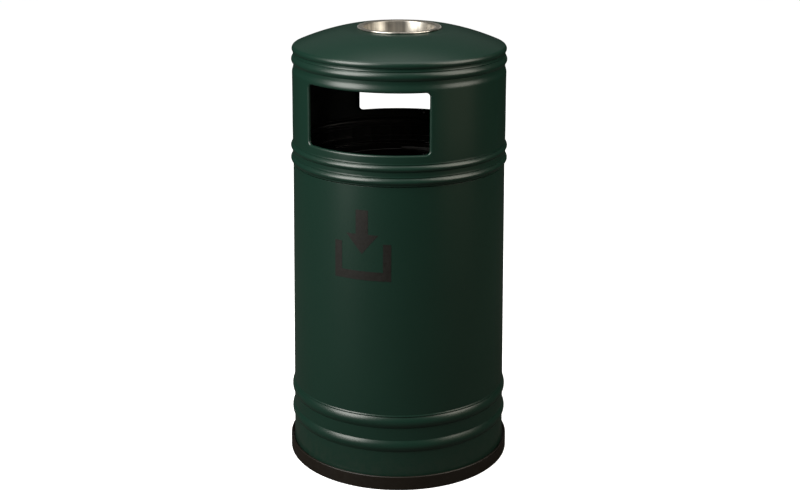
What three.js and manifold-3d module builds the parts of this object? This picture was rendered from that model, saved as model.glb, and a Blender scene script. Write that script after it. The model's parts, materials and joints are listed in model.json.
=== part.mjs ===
// Round steel litter bin: a rolled body, a hood with two openings that tilts back on a rear hinge,
// a domed lid with a lift-out ashtray, and a lift-out liner with a swinging bail.
// Millimetres, +Z up. The origin is on the floor at the middle of the bin, and the front faces -Y.
import * as THREE from "three";
import { mergeVertices } from "three/addons/utils/BufferGeometryUtils.js";
import Module from "manifold-3d";

const wasm = await Module();
wasm.setup();

// Driving dimensions
const BODY_RADIUS = 225;
const SHEET = 1.5; // thickness of the painted steel sheet
const GAP = 0.3; // air left between pieces that touch
const BODY_TOP = 628;
const RING_STEPS = 30; // facets round a large ring
const ASHTRAY_STEPS = 24;
const SMALL_STEPS = 12; // facets round a small pin or hole
const RIVET_STEPS = 8;

// Pressed beads: each is a swelling of the sheet from low to high, standing proud by so much
const FOOT_BEAD = { low: 77.7, high: 101.5, proud: 3.3 };
const LOWER_BEAD = { low: 127.6, high: 152.6, proud: 4.3 };
const SEAM_BEAD = { low: 632, high: 648.2, proud: 4 };
const SILL_BEAD = { low: 658.6, high: 674.4, proud: 4 };
const CROWN_BEAD = { low: 841.7, high: 858.4, proud: 4.4 };

// Base ring
const BASE_RING_RADIUS = 234;
const BASE_RING_INNER = 206.5;
const BASE_RING_TOP = 28.2;
const BASE_FLANGE = 6; // thickness of the flange the body stands on

// Hood
const HOOD_BOTTOM = BODY_TOP + 1.6;
const HOOD_BASE_RADIUS = BODY_RADIUS + 1.2;
const HOOD_WALL_RADIUS = BODY_RADIUS + 1.7;
const WALL_LOW = 735; // the hood's wall is straight from here up to the shoulder
const SHOULDER_LOW = 823; // the wall turns in over the openings, from here up to the neck
const SHOULDER_HIGH = 836;
const SHOULDER_SWELL = 0.5;
const NECK_RADIUS = BODY_RADIUS - 0.4;
const NECK_TOP = 874.8; // top of the flange that carries the lid
const NECK_FLANGE_INNER = 206;
const OPENING_LOW = 692.5;
const OPENING_HIGH = 818;
const OPENING_CORNER = 11;
const FRONT_OPENING_HALF = 131;
const REAR_OPENING_HALF = 155;

// Domed lid: height falls from the crown as a power of the radius, and the crown is pressed flat
// into a seat for the ashtray
const DOME_CROWN = 924.3;
const DOME_DROP = 45.1;
const DOME_POWER = 2.23;
const DOME_SEAT = 914;
const DOME_BLEND = 0.8; // how softly the seat runs into the dome
const DOME_EDGE_RADIUS = 223;
const DOME_ROLL = 8;
const DOME_HOLE_RADIUS = 79.6;
const DOME_RINGS = [208, 188, 160, 130, 112, 98, DOME_HOLE_RADIUS];
const COLLAR_DEPTH = 16; // of the collar welded under the lid's hole
const LID_FIXING_BEARINGS = [60, 180, 300]; // degrees from the rear, +Y
const LID_FIXING_RADIUS = 213;

// Ashtray
const ASHTRAY_RIM_RADIUS = 89;
const ASHTRAY_RIM_TOP = 918;
const ASHTRAY_MOUTH_RADIUS = 76;
const ASHTRAY_FLOOR = 872;
const ASHTRAY_SHEET = 1.2;

// Liner and bail
const LINER_BOTTOM = 12;
const LINER_TOP = 626;
const LINER_RADIUS = 197.3;
const LINER_SHEET = 1.3;
const BAIL_HEIGHT = 606;
const BAIL_RADIUS = 181;
const BAIL_WIRE = 2.5;
const BAIL_GRIP_RADIUS = 7;
const EAR_INNER = 188; // distance from the middle to the raised face of an ear
const LINER_GUIDE_ANGLES = { left: -120, right: -240, rear: 0 }; // degrees from the rear, +Y
const GUIDE_RADIUS = 201.5; // inner face of a guide's upright
const GUIDE_THICKNESS = 3;
const GUIDE_TAB_RADIUS = 221.6; // outer face of the tab welded to the body
const GUIDE_HEIGHTS = { low: 8.7, footTop: 11.7, tabLow: 587, tabHigh: 600 };
const GUIDE_HALF_WIDTH = 15;

// Rear hinge: its pin lies along X
const HINGE_Y = 241;
const HINGE_Z = 624;
const BARREL_RADIUS = 8;
const PIN_RADIUS = 4;
const HOOD_KNUCKLE_HALF = 26;
const BODY_KNUCKLE_START = 26.8;
const BODY_KNUCKLE_END = 50;
const LEAF_THICKNESS = 3;
const LEAF_LOW = 560;
const LEAF_HIGH = 608;
const PAD_LOW = 674.8;
const PAD_HIGH = 688;

// Latch inside the front of the hood, turning about Z
const LATCH_Y = -211.4;
const SHELF_HEIGHT = 666;
const BARREL_TOP = 671.3;
const PLUG_RADIUS = 4.5;
const CAM_LOW = 613;
const CAM_HIGH = 616;

// Materials
function finish(color, roughness, metalness) {
  return new THREE.MeshStandardMaterial({ color, roughness, metalness });
}

const GREEN_PAINT = finish(0x17362b, 0.42, 0.1);
const BLACK_PAINT = finish(0x101010, 0.5, 0.1);
const BLACK_RUBBER = finish(0x1c1712, 0.65, 0);
const SIGN_BLACK = finish(0x15110d, 0.6, 0);
const STAINLESS = finish(0xb9b4aa, 0.25, 1);
const ZINC = finish(0xa7a9a8, 0.4, 0.9);
const GALVANISED = finish(0x8d9192, 0.5, 0.8);
const BRASS = finish(0xb08d4a, 0.35, 0.9);

// ---- Geometry helpers ----

// A geometry as a manifold-3d solid, with shared vertices merged and collapsed faces dropped
function toSolid(geometry) {
  const bare = geometry.clone();
  bare.deleteAttribute("normal");
  bare.deleteAttribute("uv");
  const merged = mergeVertices(bare, 1e-4);
  const index = merged.index.array;
  const kept = [];
  for (let i = 0; i < index.length; i += 3) {
    const [a, b, c] = index.subarray(i, i + 3);
    if (a !== b && b !== c && a !== c) kept.push(a, b, c);
  }
  const triVerts = new Uint32Array(kept);
  const vertProperties = merged.attributes.position.array;
  return new wasm.Manifold(new wasm.Mesh({ numProp: 3, vertProperties, triVerts }));
}

function toGeometry(solid) {
  const mesh = solid.getMesh();
  const geometry = new THREE.BufferGeometry();
  geometry.setAttribute("position", new THREE.BufferAttribute(mesh.vertProperties, 3));
  geometry.setIndex(new THREE.BufferAttribute(mesh.triVerts, 1));
  geometry.computeVertexNormals();
  return geometry;
}

function point(r, z) {
  return new THREE.Vector2(r, z);
}

function signedArea(points) {
  return points.reduce((sum, p, i) => sum + p.cross(points[(i + 1) % points.length]), 0) / 2;
}

// A closed (radius, height) outline turned round the Z axis. An outline that starts and ends on the
// axis stays open there.
function turned(outline, steps = RING_STEPS) {
  const points = signedArea(outline) > 0 ? [...outline] : [...outline].reverse();
  const onAxis = points.some((p) => p.x === 0);
  if (onAxis) {
    while (points[0].x !== 0 || points.at(-1).x !== 0) points.push(points.shift());
  } else {
    points.push(points[0].clone());
  }
  const lathe = new THREE.LatheGeometry(points, steps).rotateX(Math.PI / 2);
  return toSolid(lathe);
}

// The outline of a sheet: a path and its copy moved to the left by the sheet's thickness
function sheetOutline(path, thickness) {
  const moved = path.map((p, i) => {
    const before = path[Math.max(i - 1, 0)];
    const after = path[Math.min(i + 1, path.length - 1)];
    const into = (i === 0 ? after.clone().sub(p) : p.clone().sub(before)).normalize();
    const out = (i === path.length - 1 ? into.clone() : after.clone().sub(p)).normalize();
    const normal = point(-into.y - out.y, into.x + out.x).normalize();
    const stretch = 1 / Math.max(normal.dot(point(-into.y, into.x)), 0.5);
    return p.clone().addScaledVector(normal, thickness * stretch);
  });
  return [...path, ...moved.reverse()];
}

function turnedSheet(path, thickness, steps = RING_STEPS) {
  const outline = sheetOutline(path, thickness);
  const last = path.length - 1;
  if (path[last].x === 0) outline[last + 1].x = 0;
  if (path[0].x === 0) outline.at(-1).x = 0;
  return turned(outline, steps);
}

// Points up a pressed bead
function beadPoints(base, bead) {
  return [0, 0.25, 0.5, 0.75, 1].map((t) =>
    point(base + bead.proud * Math.sin(Math.PI * t), bead.low + t * (bead.high - bead.low)),
  );
}

function arcPoints(centre, radius, from, to, count) {
  return Array.from({ length: count + 1 }, (_, i) => {
    const angle = THREE.MathUtils.degToRad(from + ((to - from) * i) / count);
    return point(centre.x + radius * Math.cos(angle), centre.y + radius * Math.sin(angle));
  });
}

function rectangle(low, high) {
  return [point(low[0], low[1]), point(high[0], low[1]), point(high[0], high[1]), point(low[0], high[1])];
}

function boxSolid(low, high) {
  const size = high.map((v, i) => v - low[i]);
  const middle = high.map((v, i) => (v + low[i]) / 2);
  return toSolid(new THREE.BoxGeometry(...size).translate(...middle));
}

// A cylinder along Z from low to high
function pin(radius, low, high, steps = SMALL_STEPS) {
  return turned(rectangle([0, low], [radius, high]), steps);
}

function moved(solid, matrix) {
  return toSolid(toGeometry(solid).applyMatrix4(matrix));
}

function shifted(solid, x, y, z) {
  return moved(solid, new THREE.Matrix4().makeTranslation(x, y, z));
}

const ALONG_X = new THREE.Matrix4().makeBasis(
  new THREE.Vector3(0, 1, 0),
  new THREE.Vector3(0, 0, 1),
  new THREE.Vector3(1, 0, 0),
);

// An outline in the (Y, Z) plane run along X from low to high
function acrossX(outline, low, high) {
  const shape = new THREE.Shape(outline);
  const prism = new THREE.ExtrudeGeometry(shape, { depth: high - low, bevelEnabled: false });
  return toSolid(prism.translate(0, 0, low).applyMatrix4(ALONG_X));
}

// An outline in the (X, Z) plane run along Y from low to high
function acrossY(shape, low, high) {
  const prism = new THREE.ExtrudeGeometry(shape, {
    depth: high - low,
    bevelEnabled: false,
    curveSegments: 5,
  });
  return toSolid(prism.rotateX(Math.PI / 2).translate(0, high, 0));
}

// A shape in the (X, Y) plane raised along Z from low to high
function raised(shape, low, high, curveSegments = SMALL_STEPS) {
  const options = { depth: high - low, bevelEnabled: false, curveSegments };
  return toSolid(new THREE.ExtrudeGeometry(shape, options).translate(0, 0, low));
}

function roundedRectangle(halfWidth, low, high, corner) {
  const shape = new THREE.Shape();
  shape.moveTo(-halfWidth + corner, low);
  shape.absarc(halfWidth - corner, low + corner, corner, -Math.PI / 2, 0);
  shape.absarc(halfWidth - corner, high - corner, corner, 0, Math.PI / 2);
  shape.absarc(-halfWidth + corner, high - corner, corner, Math.PI / 2, Math.PI);
  shape.absarc(-halfWidth + corner, low + corner, corner, Math.PI, 1.5 * Math.PI);
  return shape;
}

// Places something that points along +Z so that it points outwards from the bin's axis,
// at a bearing in degrees from +Y towards +X
function outward(bearing, radius, height) {
  const angle = THREE.MathUtils.degToRad(bearing);
  const away = new THREE.Vector3(Math.sin(angle), Math.cos(angle), 0);
  const up = new THREE.Vector3(0, 0, 1);
  const side = new THREE.Vector3().crossVectors(up, away);
  const place = away.clone().multiplyScalar(radius).setZ(height);
  return new THREE.Matrix4().makeBasis(side, up, away).setPosition(place);
}

// ---- Body ----

function bodyShell() {
  const lipRadius = BODY_RADIUS - 6.5;
  const path = [
    point(BODY_RADIUS, 6.5),
    ...beadPoints(BODY_RADIUS, FOOT_BEAD),
    ...beadPoints(BODY_RADIUS, LOWER_BEAD),
    point(BODY_RADIUS, BODY_TOP),
    point(lipRadius, BODY_TOP),
    point(lipRadius, BODY_TOP - 8),
  ];
  let shell = turnedSheet(path, SHEET);
  for (const { bearing, height } of BODY_RIVETS) shell = shell.subtract(rivetHole(bearing, height));
  return shell;
}

// Pressed pan: flush with the floor in the middle, stepped up over the base ring's flange
function basePlate() {
  const path = [point(0, 0), point(203, 0), point(205.5, 6.4), point(222.7, 6.4), point(222.7, 30)];
  let plate = turnedSheet(path, 2);
  const holes = [
    { radius: 7, reach: 150, first: 45 },
    { radius: 5, reach: 100, first: 0 },
  ];
  for (const { radius, reach, first } of holes) {
    for (let i = 0; i < 4; i++) {
      const angle = THREE.MathUtils.degToRad(first + 90 * i);
      const hole = pin(radius, -5, 10, 12);
      plate = plate.subtract(shifted(hole, reach * Math.cos(angle), reach * Math.sin(angle), 0));
    }
  }
  return plate;
}

// Moulded bumper ring that wraps the body's bottom edge
function baseRing() {
  const outer = BASE_RING_RADIUS;
  const top = BASE_RING_TOP;
  const recess = BODY_RADIUS + 0.4;
  return turned([
    point(BASE_RING_INNER, 0),
    point(outer - 1.2, 0),
    point(outer, 1.2),
    point(outer, top - 2.8),
    point(outer - 1, top - 0.8),
    point(outer - 3, top),
    point(recess + 2, top),
    point(recess, top - 2.2),
    point(recess, BASE_FLANGE),
    point(BASE_RING_INNER, BASE_FLANGE),
  ]);
}

function rimGasket() {
  return turned(rectangle([219, BODY_TOP + 0.2], [223.6, BODY_TOP + 1.2]));
}

function latchKeeper() {
  const strip = turned(rectangle([218.7, 617.4], [223, 619.6]));
  return strip.intersect(boxSolid([-15, -240, 600], [15, -200, 640]));
}

// Bent strap that centres the liner and carries it on an inward foot
function linerGuide(bearing) {
  const { low, footTop, tabLow, tabHigh } = GUIDE_HEIGHTS;
  const inner = GUIDE_RADIUS;
  const outer = GUIDE_RADIUS + GUIDE_THICKNESS;
  const tabInner = GUIDE_TAB_RADIUS - 2.6;
  const outline = [
    point(170, low),
    point(217, low),
    point(217, footTop),
    point(outer, footTop),
    point(outer, tabLow),
    point(GUIDE_TAB_RADIUS, tabLow),
    point(GUIDE_TAB_RADIUS, tabHigh),
    point(tabInner, tabHigh),
    point(tabInner, tabLow + GUIDE_THICKNESS),
    point(inner, tabLow + GUIDE_THICKNESS),
    point(inner, footTop),
    point(170, footTop),
  ];
  const strap = acrossX(outline, -GUIDE_HALF_WIDTH, GUIDE_HALF_WIDTH);
  const turn = THREE.MathUtils.degToRad(bearing);
  return moved(strap, new THREE.Matrix4().makeRotationZ(turn));
}

// ---- Hood ----

function hoodShell() {
  const path = [
    point(HOOD_BASE_RADIUS, HOOD_BOTTOM),
    ...beadPoints(HOOD_BASE_RADIUS, SEAM_BEAD),
    ...beadPoints(HOOD_BASE_RADIUS, SILL_BEAD),
    point(HOOD_WALL_RADIUS, WALL_LOW),
    point(HOOD_WALL_RADIUS + SHOULDER_SWELL, SHOULDER_LOW),
    point(NECK_RADIUS + 0.2, SHOULDER_HIGH),
    ...beadPoints(NECK_RADIUS, CROWN_BEAD),
    point(NECK_RADIUS, NECK_TOP),
    point(NECK_FLANGE_INNER, NECK_TOP),
  ];
  const front = roundedRectangle(FRONT_OPENING_HALF, OPENING_LOW, OPENING_HIGH, OPENING_CORNER);
  const rear = roundedRectangle(REAR_OPENING_HALF, OPENING_LOW, OPENING_HIGH, OPENING_CORNER);
  let shell = turnedSheet(path, SHEET);
  shell = shell.subtract(acrossY(front, -260, -60)).subtract(acrossY(rear, 60, 260));
  for (const bearing of HOOD_RIVET_BEARINGS) shell = shell.subtract(rivetHole(bearing, RIVET_PAD_HEIGHT));
  for (const bearing of LID_FIXING_BEARINGS) shell = shell.subtract(lidFixing(lidBoltHole(), bearing));
  return shell;
}

// Angle ring inside the hood: rests on the body's gasket, with a lip that drops inside the body
function hoodSeatRing() {
  const path = [point(216.8, 615), point(216.8, 629.5), point(224, 629.5), point(224, 652)];
  const notch = boxSolid([-14, -240, 610], [14, -200, 640]);
  return turnedSheet(path, SHEET).subtract(notch);
}

function domeHeight(r) {
  const dome = DOME_CROWN - DOME_DROP * (r / BODY_RADIUS) ** DOME_POWER;
  return DOME_SEAT - DOME_BLEND * Math.log(1 + Math.exp((DOME_SEAT - dome) / DOME_BLEND));
}

function domeSlope(r) {
  return (-DOME_DROP * DOME_POWER * (r / BODY_RADIUS) ** (DOME_POWER - 1)) / BODY_RADIUS;
}

function lidDome() {
  const edgeNormal = Math.PI / 2 + Math.atan(domeSlope(DOME_EDGE_RADIUS));
  const rollCentre = point(
    DOME_EDGE_RADIUS - DOME_ROLL * Math.cos(edgeNormal),
    domeHeight(DOME_EDGE_RADIUS) - DOME_ROLL * Math.sin(edgeNormal),
  );
  const roll = arcPoints(rollCentre, DOME_ROLL, -20, THREE.MathUtils.radToDeg(edgeNormal), 5);
  const dome = DOME_RINGS.map((r) => point(r, domeHeight(r)));
  return turnedSheet([...roll, ...dome], SHEET);
}

// The lid's underside between its two outermost rings
function lidUnderside(r) {
  const [outer, inner] = DOME_RINGS;
  const fall = (domeHeight(outer) - domeHeight(inner)) / (outer - inner);
  return domeHeight(inner) + (r - inner) * fall - SHEET * Math.hypot(1, fall);
}

// Moves a piece of a lid fixing from the rear of the bin round to its own bearing
function lidFixing(solid, bearing) {
  const turn = THREE.MathUtils.degToRad(-bearing);
  return moved(solid, new THREE.Matrix4().makeRotationZ(turn));
}

function lidBoltHole() {
  return shifted(pin(3.4, NECK_TOP - 6, NECK_TOP + 6), 0, LID_FIXING_RADIUS, 0);
}

// Cranked strap, welded under the dome and bolted down to the hood's top flange
function lidBracket() {
  const thickness = 2;
  const footTop = NECK_TOP + GAP + thickness;
  const [outer, inner] = DOME_RINGS;
  const path = [
    point(LID_FIXING_RADIUS + 7, footTop),
    point(outer - 4, footTop),
    point(outer - 4, lidUnderside(outer - 4) - GAP),
    point(inner + 2, lidUnderside(inner + 2) - GAP),
  ];
  const slice = boxSolid([-9, 150, 850], [9, 230, 900]);
  return turnedSheet(path, thickness).intersect(slice).subtract(lidBoltHole());
}

function lidBolt() {
  const under = NECK_TOP - SHEET - GAP;
  const bolt = pin(5.2, under - 3.6, under, 6).add(pin(3, under - 1, NECK_TOP + 6.6));
  return shifted(bolt, 0, LID_FIXING_RADIUS, 0);
}

function lidNut() {
  const low = NECK_TOP + 2 + 2 * GAP;
  const nut = pin(5.2, low, low + 3, 6).subtract(pin(3.4, low - 1, low + 4));
  return shifted(nut, 0, LID_FIXING_RADIUS, 0);
}

// Welded collar under the lid's hole, which guides the ashtray
function ashtrayCollar() {
  const top = DOME_SEAT - SHEET - GAP;
  return turned(rectangle([DOME_HOLE_RADIUS, top - COLLAR_DEPTH], [DOME_HOLE_RADIUS + SHEET, top]));
}

function ashtrayBowl() {
  const floorCorner = point(65.5, ASHTRAY_FLOOR + 8);
  const path = [
    point(ASHTRAY_RIM_RADIUS - 1, DOME_SEAT + GAP),
    point(ASHTRAY_RIM_RADIUS, DOME_SEAT + 1.6),
    point(ASHTRAY_RIM_RADIUS - 0.5, ASHTRAY_RIM_TOP - 0.9),
    point(ASHTRAY_RIM_RADIUS - 2.2, ASHTRAY_RIM_TOP),
    point(ASHTRAY_MOUTH_RADIUS + 2, ASHTRAY_RIM_TOP - 0.8),
    point(ASHTRAY_MOUTH_RADIUS, ASHTRAY_RIM_TOP - 2.4),
    ...arcPoints(floorCorner, 8, 0, -90, 3),
    point(0, ASHTRAY_FLOOR),
  ];
  return turnedSheet(path, ASHTRAY_SHEET, ASHTRAY_STEPS);
}

// ---- Rear hinge and its rivets ----

const RIVET_SHANK = 2;
const RIVET_HEAD = 3.6;
const RIVET_PAD_HEIGHT = 683.5;
const HOOD_RIVET_BEARINGS = [-4.6, 0, 4.6];
const BODY_RIVETS = [
  { bearing: -9.2, height: 568 },
  { bearing: 9.2, height: 568 },
  { bearing: -9.2, height: 584 },
  { bearing: 9.2, height: 584 },
];

function rivetHole(bearing, height) {
  return moved(pin(RIVET_SHANK + 0.5, -20, 20, RIVET_STEPS), outward(bearing, BODY_RADIUS, height));
}

// A domed head, a shank and a set tail, pointing outwards; inner and outer are the faces it grips
function rivet(bearing, height, inner, outer) {
  const grip = outer - inner;
  const outline = [
    point(0, -1.8),
    point(2.8, -1.8),
    point(2.8, -GAP),
    point(RIVET_SHANK, -GAP),
    point(RIVET_SHANK, grip + GAP),
    point(RIVET_HEAD, grip + GAP),
    point(2.4, grip + 2),
    point(0, grip + 2.4),
  ];
  return moved(turned(outline, RIVET_STEPS), outward(bearing, inner, height));
}

function knuckle(low, high) {
  const barrel = pin(BARREL_RADIUS, low, high, 24).subtract(pin(PIN_RADIUS + 0.4, low - 5, high + 5, 24));
  const place = new THREE.Matrix4().makeTranslation(0, HINGE_Y, HINGE_Z).multiply(ALONG_X);
  return moved(barrel, place);
}

// Everything inside the pin's bore, from low to high along X
function boreSolid(low, high) {
  const place = new THREE.Matrix4().makeTranslation(0, HINGE_Y, HINGE_Z).multiply(ALONG_X);
  return moved(pin(PIN_RADIUS + 0.4, low, high, 24), place);
}

function hingeBodyLeaf() {
  const inner = BODY_RADIUS + GAP;
  const band = turned(rectangle([inner, LEAF_LOW], [inner + LEAF_THICKNESS, LEAF_HIGH]));
  let leaf = band.intersect(boxSolid([-50, 200, 500], [50, 240, 650]));
  const arm = [
    point(218, 590),
    point(229, 590),
    point(230, 601),
    point(240.6, 616.4),
    point(234, 621),
    point(224, 607.6),
    point(218, 607.6),
  ];
  for (const [low, high] of [
    [-BODY_KNUCKLE_END, -BODY_KNUCKLE_START],
    [BODY_KNUCKLE_START, BODY_KNUCKLE_END],
  ]) {
    leaf = leaf.add(acrossX(arm, low, high)).add(knuckle(low, high));
  }
  leaf = leaf.subtract(pin(inner, 500, 640, RING_STEPS)).subtract(boreSolid(-60, 60));
  for (const { bearing, height } of BODY_RIVETS) leaf = leaf.subtract(rivetHole(bearing, height));
  return leaf;
}

function hingeHoodLeaf() {
  const inner = HOOD_BASE_RADIUS + 0.9;
  const half = HOOD_KNUCKLE_HALF;
  const band = turned(rectangle([inner, PAD_LOW], [inner + LEAF_THICKNESS, PAD_HIGH]));
  let leaf = band.intersect(boxSolid([-half, 200, 600], [half, 240, 700]));
  const strap = [
    point(232.4, 624),
    point(235.8, 624),
    point(235.8, 671),
    point(230, 677),
    point(226, 677),
    point(226, 674.6),
    point(232.4, 670),
  ];
  leaf = leaf.add(acrossX(strap, -half, half)).add(knuckle(-half, half));
  leaf = leaf.subtract(pin(inner, 660, 700, RING_STEPS)).subtract(boreSolid(-60, 60));
  for (const bearing of HOOD_RIVET_BEARINGS) leaf = leaf.subtract(rivetHole(bearing, RIVET_PAD_HEIGHT));
  return leaf;
}

function hingePin() {
  const end = BODY_KNUCKLE_END + 1;
  const outline = [
    point(0, -end - 3),
    point(5.4, -end - 3),
    point(6.4, -end - 2),
    point(6.4, -end),
    point(PIN_RADIUS, -end),
    point(PIN_RADIUS, end + 2),
    point(PIN_RADIUS - 1, end + 3),
    point(0, end + 3),
  ];
  const place = new THREE.Matrix4().makeTranslation(0, HINGE_Y, HINGE_Z).multiply(ALONG_X);
  return moved(turned(outline, 24), place);
}

// ---- Latch ----

function latchBracket() {
  const path = [point(202.5, SHELF_HEIGHT), point(223.9, SHELF_HEIGHT), point(223.9, 689)];
  const slice = boxSolid([-20, -240, 600], [20, -190, 700]);
  const hole = shifted(pin(7.4, 660, 675), 0, LATCH_Y, 0);
  return turnedSheet(path, 2.5).intersect(slice).subtract(hole);
}

function latchBarrel() {
  const under = SHELF_HEIGHT + 2.5 + GAP;
  const bore = PLUG_RADIUS + 0.4;
  const outline = [
    point(bore, 642),
    point(7, 642),
    point(7, under),
    point(9, under),
    point(9, BARREL_TOP),
    point(bore, BARREL_TOP),
  ];
  return shifted(turned(outline, SMALL_STEPS), 0, LATCH_Y, 0);
}

// A six-sided nut round the latch's axis
function hexNut(corner, bore, low, high) {
  const nut = pin(corner, low, high, 6).subtract(pin(bore, low - 1, high + 1));
  return shifted(nut, 0, LATCH_Y, 0);
}

// Key plug: a three-sided head for the key, a round plug and a threaded end for the cam
function latchPlug() {
  const outline = [
    point(0, 606),
    point(2, 606),
    point(2.5, 606.6),
    point(2.5, CAM_HIGH + GAP),
    point(PLUG_RADIUS, CAM_HIGH + GAP),
    point(PLUG_RADIUS, 672),
    point(0, 672),
  ];
  const head = pin(4.4, 671, 679.5, 3);
  return shifted(turned(outline, SMALL_STEPS).add(head), 0, LATCH_Y, 0);
}

// At rest the cam points along -X, clear of the keeper; a quarter turn points it outwards
function latchCam() {
  const shape = new THREE.Shape();
  shape.absarc(0, 0, 5, -1.9, 1.9);
  shape.absarc(-7, 0, 3, 1.9, 2 * Math.PI - 1.9);
  const cam = raised(shape, CAM_LOW, CAM_HIGH, 8).subtract(pin(2.8, CAM_LOW - 1, CAM_HIGH + 1));
  return shifted(cam, 0, LATCH_Y, 0);
}

// ---- Liner and bail ----

function linerShell() {
  const path = [
    point(0, LINER_BOTTOM),
    point(183, LINER_BOTTOM),
    point(188, LINER_BOTTOM + 5),
    point(LINER_RADIUS, LINER_TOP - 9.6),
    point(LINER_RADIUS + 2.8, LINER_TOP - 8.4),
    point(LINER_RADIUS + 3.7, LINER_TOP - 5),
    point(LINER_RADIUS + 2.6, LINER_TOP - 1.4),
    point(LINER_RADIUS, LINER_TOP),
  ];
  let shell = turnedSheet(path, LINER_SHEET);
  for (const side of [-1, 1]) {
    for (const offset of [-EAR_RIVET_OFFSET, EAR_RIVET_OFFSET]) {
      shell = shell.subtract(earRivetHole(side, offset));
    }
  }
  return shell;
}

const EAR_RIVET_OFFSET = 16;
const EAR_LOW = BAIL_HEIGHT - 10;
const EAR_HIGH = BAIL_HEIGHT + 10;
const EAR_FOOT = 192; // inner face of the ear's feet
const EAR_FOOT_OUTER = 196;
const EAR_WALL_RADIUS = 195.3; // the feet are curved to the liner's wall

function earRivetHole(side, offset) {
  return moved(pin(RIVET_SHANK + 0.5, -12, 12, RIVET_STEPS), alongSide(side, LINER_RADIUS, offset));
}

// Places something that points along +Z so that it points along +X or -X
function alongSide(side, x, y) {
  const away = new THREE.Vector3(side, 0, 0);
  const up = new THREE.Vector3(0, 0, 1);
  const across = new THREE.Vector3().crossVectors(up, away);
  const place = new THREE.Vector3(side * x, y, BAIL_HEIGHT);
  return new THREE.Matrix4().makeBasis(across, up, away).setPosition(place);
}

// Saddle riveted inside the liner; its raised middle holds the bail's end
function linerEar(side) {
  const outline = [
    point(EAR_FOOT, 23),
    point(EAR_FOOT, 11),
    point(EAR_INNER, 7),
    point(EAR_INNER, -7),
    point(EAR_FOOT, -11),
    point(EAR_FOOT, -23),
    point(EAR_FOOT_OUTER, -23),
    point(EAR_FOOT_OUTER, -12.5),
    point(EAR_FOOT, -8.8),
    point(EAR_INNER + 1.8, -6),
    point(EAR_INNER + 1.8, 6),
    point(EAR_FOOT, 8.8),
    point(EAR_FOOT_OUTER, 12.5),
    point(EAR_FOOT_OUTER, 23),
  ];
  let ear = raised(new THREE.Shape(outline), EAR_LOW, EAR_HIGH);
  if (side < 0) ear = moved(ear, new THREE.Matrix4().makeRotationZ(Math.PI));
  ear = ear.intersect(pin(EAR_WALL_RADIUS, EAR_LOW, EAR_HIGH, RING_STEPS));
  ear = ear.subtract(moved(pin(BAIL_WIRE + 1, -12, 6), alongSide(side, EAR_INNER, 0)));
  for (const offset of [-EAR_RIVET_OFFSET, EAR_RIVET_OFFSET]) ear = ear.subtract(earRivetHole(side, offset));
  return ear;
}

// The head is inside the liner, on the ear's foot, and the tail is outside the wall
function earRivet(side, offset) {
  const headFace = EAR_FOOT - 0.2;
  const tailFace = LINER_RADIUS - 0.1;
  const outline = [
    point(0, -2),
    point(2.2, -1.7),
    point(3.6, 0),
    point(RIVET_SHANK, 0),
    point(RIVET_SHANK, tailFace - headFace),
    point(2.8, tailFace - headFace),
    point(2.8, tailFace - headFace + 1.4),
    point(0, tailFace - headFace + 1.4),
  ];
  return moved(turned(outline, RIVET_STEPS), alongSide(side, headFace, offset));
}

// Path of the bail: a half ring lying flat towards the rear, with its ends turned outwards
function bailPath() {
  const path = new THREE.CurvePath();
  const at = (x, y) => new THREE.Vector3(x, y, BAIL_HEIGHT);
  const half = Array.from({ length: 19 }, (_, i) => {
    const angle = (2.5 + (175 * i) / 18) * THREE.MathUtils.DEG2RAD;
    return at(BAIL_RADIUS * Math.cos(angle), BAIL_RADIUS * Math.sin(angle));
  });
  const first = half[0];
  const last = half.at(-1);
  path.add(new THREE.LineCurve3(at(193, 0), at(EAR_INNER - 4, 0)));
  path.add(new THREE.QuadraticBezierCurve3(at(EAR_INNER - 4, 0), at(BAIL_RADIUS, 0), first));
  path.add(new THREE.CatmullRomCurve3(half));
  path.add(new THREE.QuadraticBezierCurve3(last, at(-BAIL_RADIUS, 0), at(4 - EAR_INNER, 0)));
  path.add(new THREE.LineCurve3(at(4 - EAR_INNER, 0), at(-193, 0)));
  return path;
}

function ringShape(radius, hole) {
  const shape = new THREE.Shape();
  shape.absarc(0, 0, radius, 0, 2 * Math.PI);
  if (hole) {
    const inside = new THREE.Path();
    inside.absarc(0, 0, hole, 0, 2 * Math.PI, true);
    shape.holes.push(inside);
  }
  return shape;
}

function bailWire() {
  const options = { steps: 44, curveSegments: 3, bevelEnabled: false, extrudePath: bailPath() };
  let wire = toSolid(new THREE.ExtrudeGeometry(ringShape(BAIL_WIRE), options));
  for (const side of [-1, 1]) {
    wire = wire.add(moved(pin(4.2, 0, 1.6, 12), alongSide(side, 191.4, 0)));
  }
  return wire;
}

function bailGrip() {
  const arc = Array.from({ length: 7 }, (_, i) => {
    const angle = (72 + 6 * i) * THREE.MathUtils.DEG2RAD;
    return new THREE.Vector3(BAIL_RADIUS * Math.cos(angle), BAIL_RADIUS * Math.sin(angle), BAIL_HEIGHT);
  });
  const extrudePath = new THREE.CatmullRomCurve3(arc);
  const options = { steps: 7, curveSegments: 4, bevelEnabled: false, extrudePath };
  return toSolid(new THREE.ExtrudeGeometry(ringShape(BAIL_GRIP_RADIUS, BAIL_WIRE + 0.9), options));
}

// Ledge welded inside the liner's rear wall; the folded bail rests on it
function bailRest() {
  const top = BAIL_HEIGHT - BAIL_GRIP_RADIUS - GAP;
  const ledge = [
    point(176, top - 1.8),
    point(192.6, top - 1.8),
    point(192.4, top - 16),
    point(194.4, top - 16),
    point(194.6, top),
    point(176, top),
  ];
  return acrossX(ledge, -9, 9);
}

// ---- Sign on the front: an arrow pointing down into an open tray ----

const SIGN_MIDDLE = 507;

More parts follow.
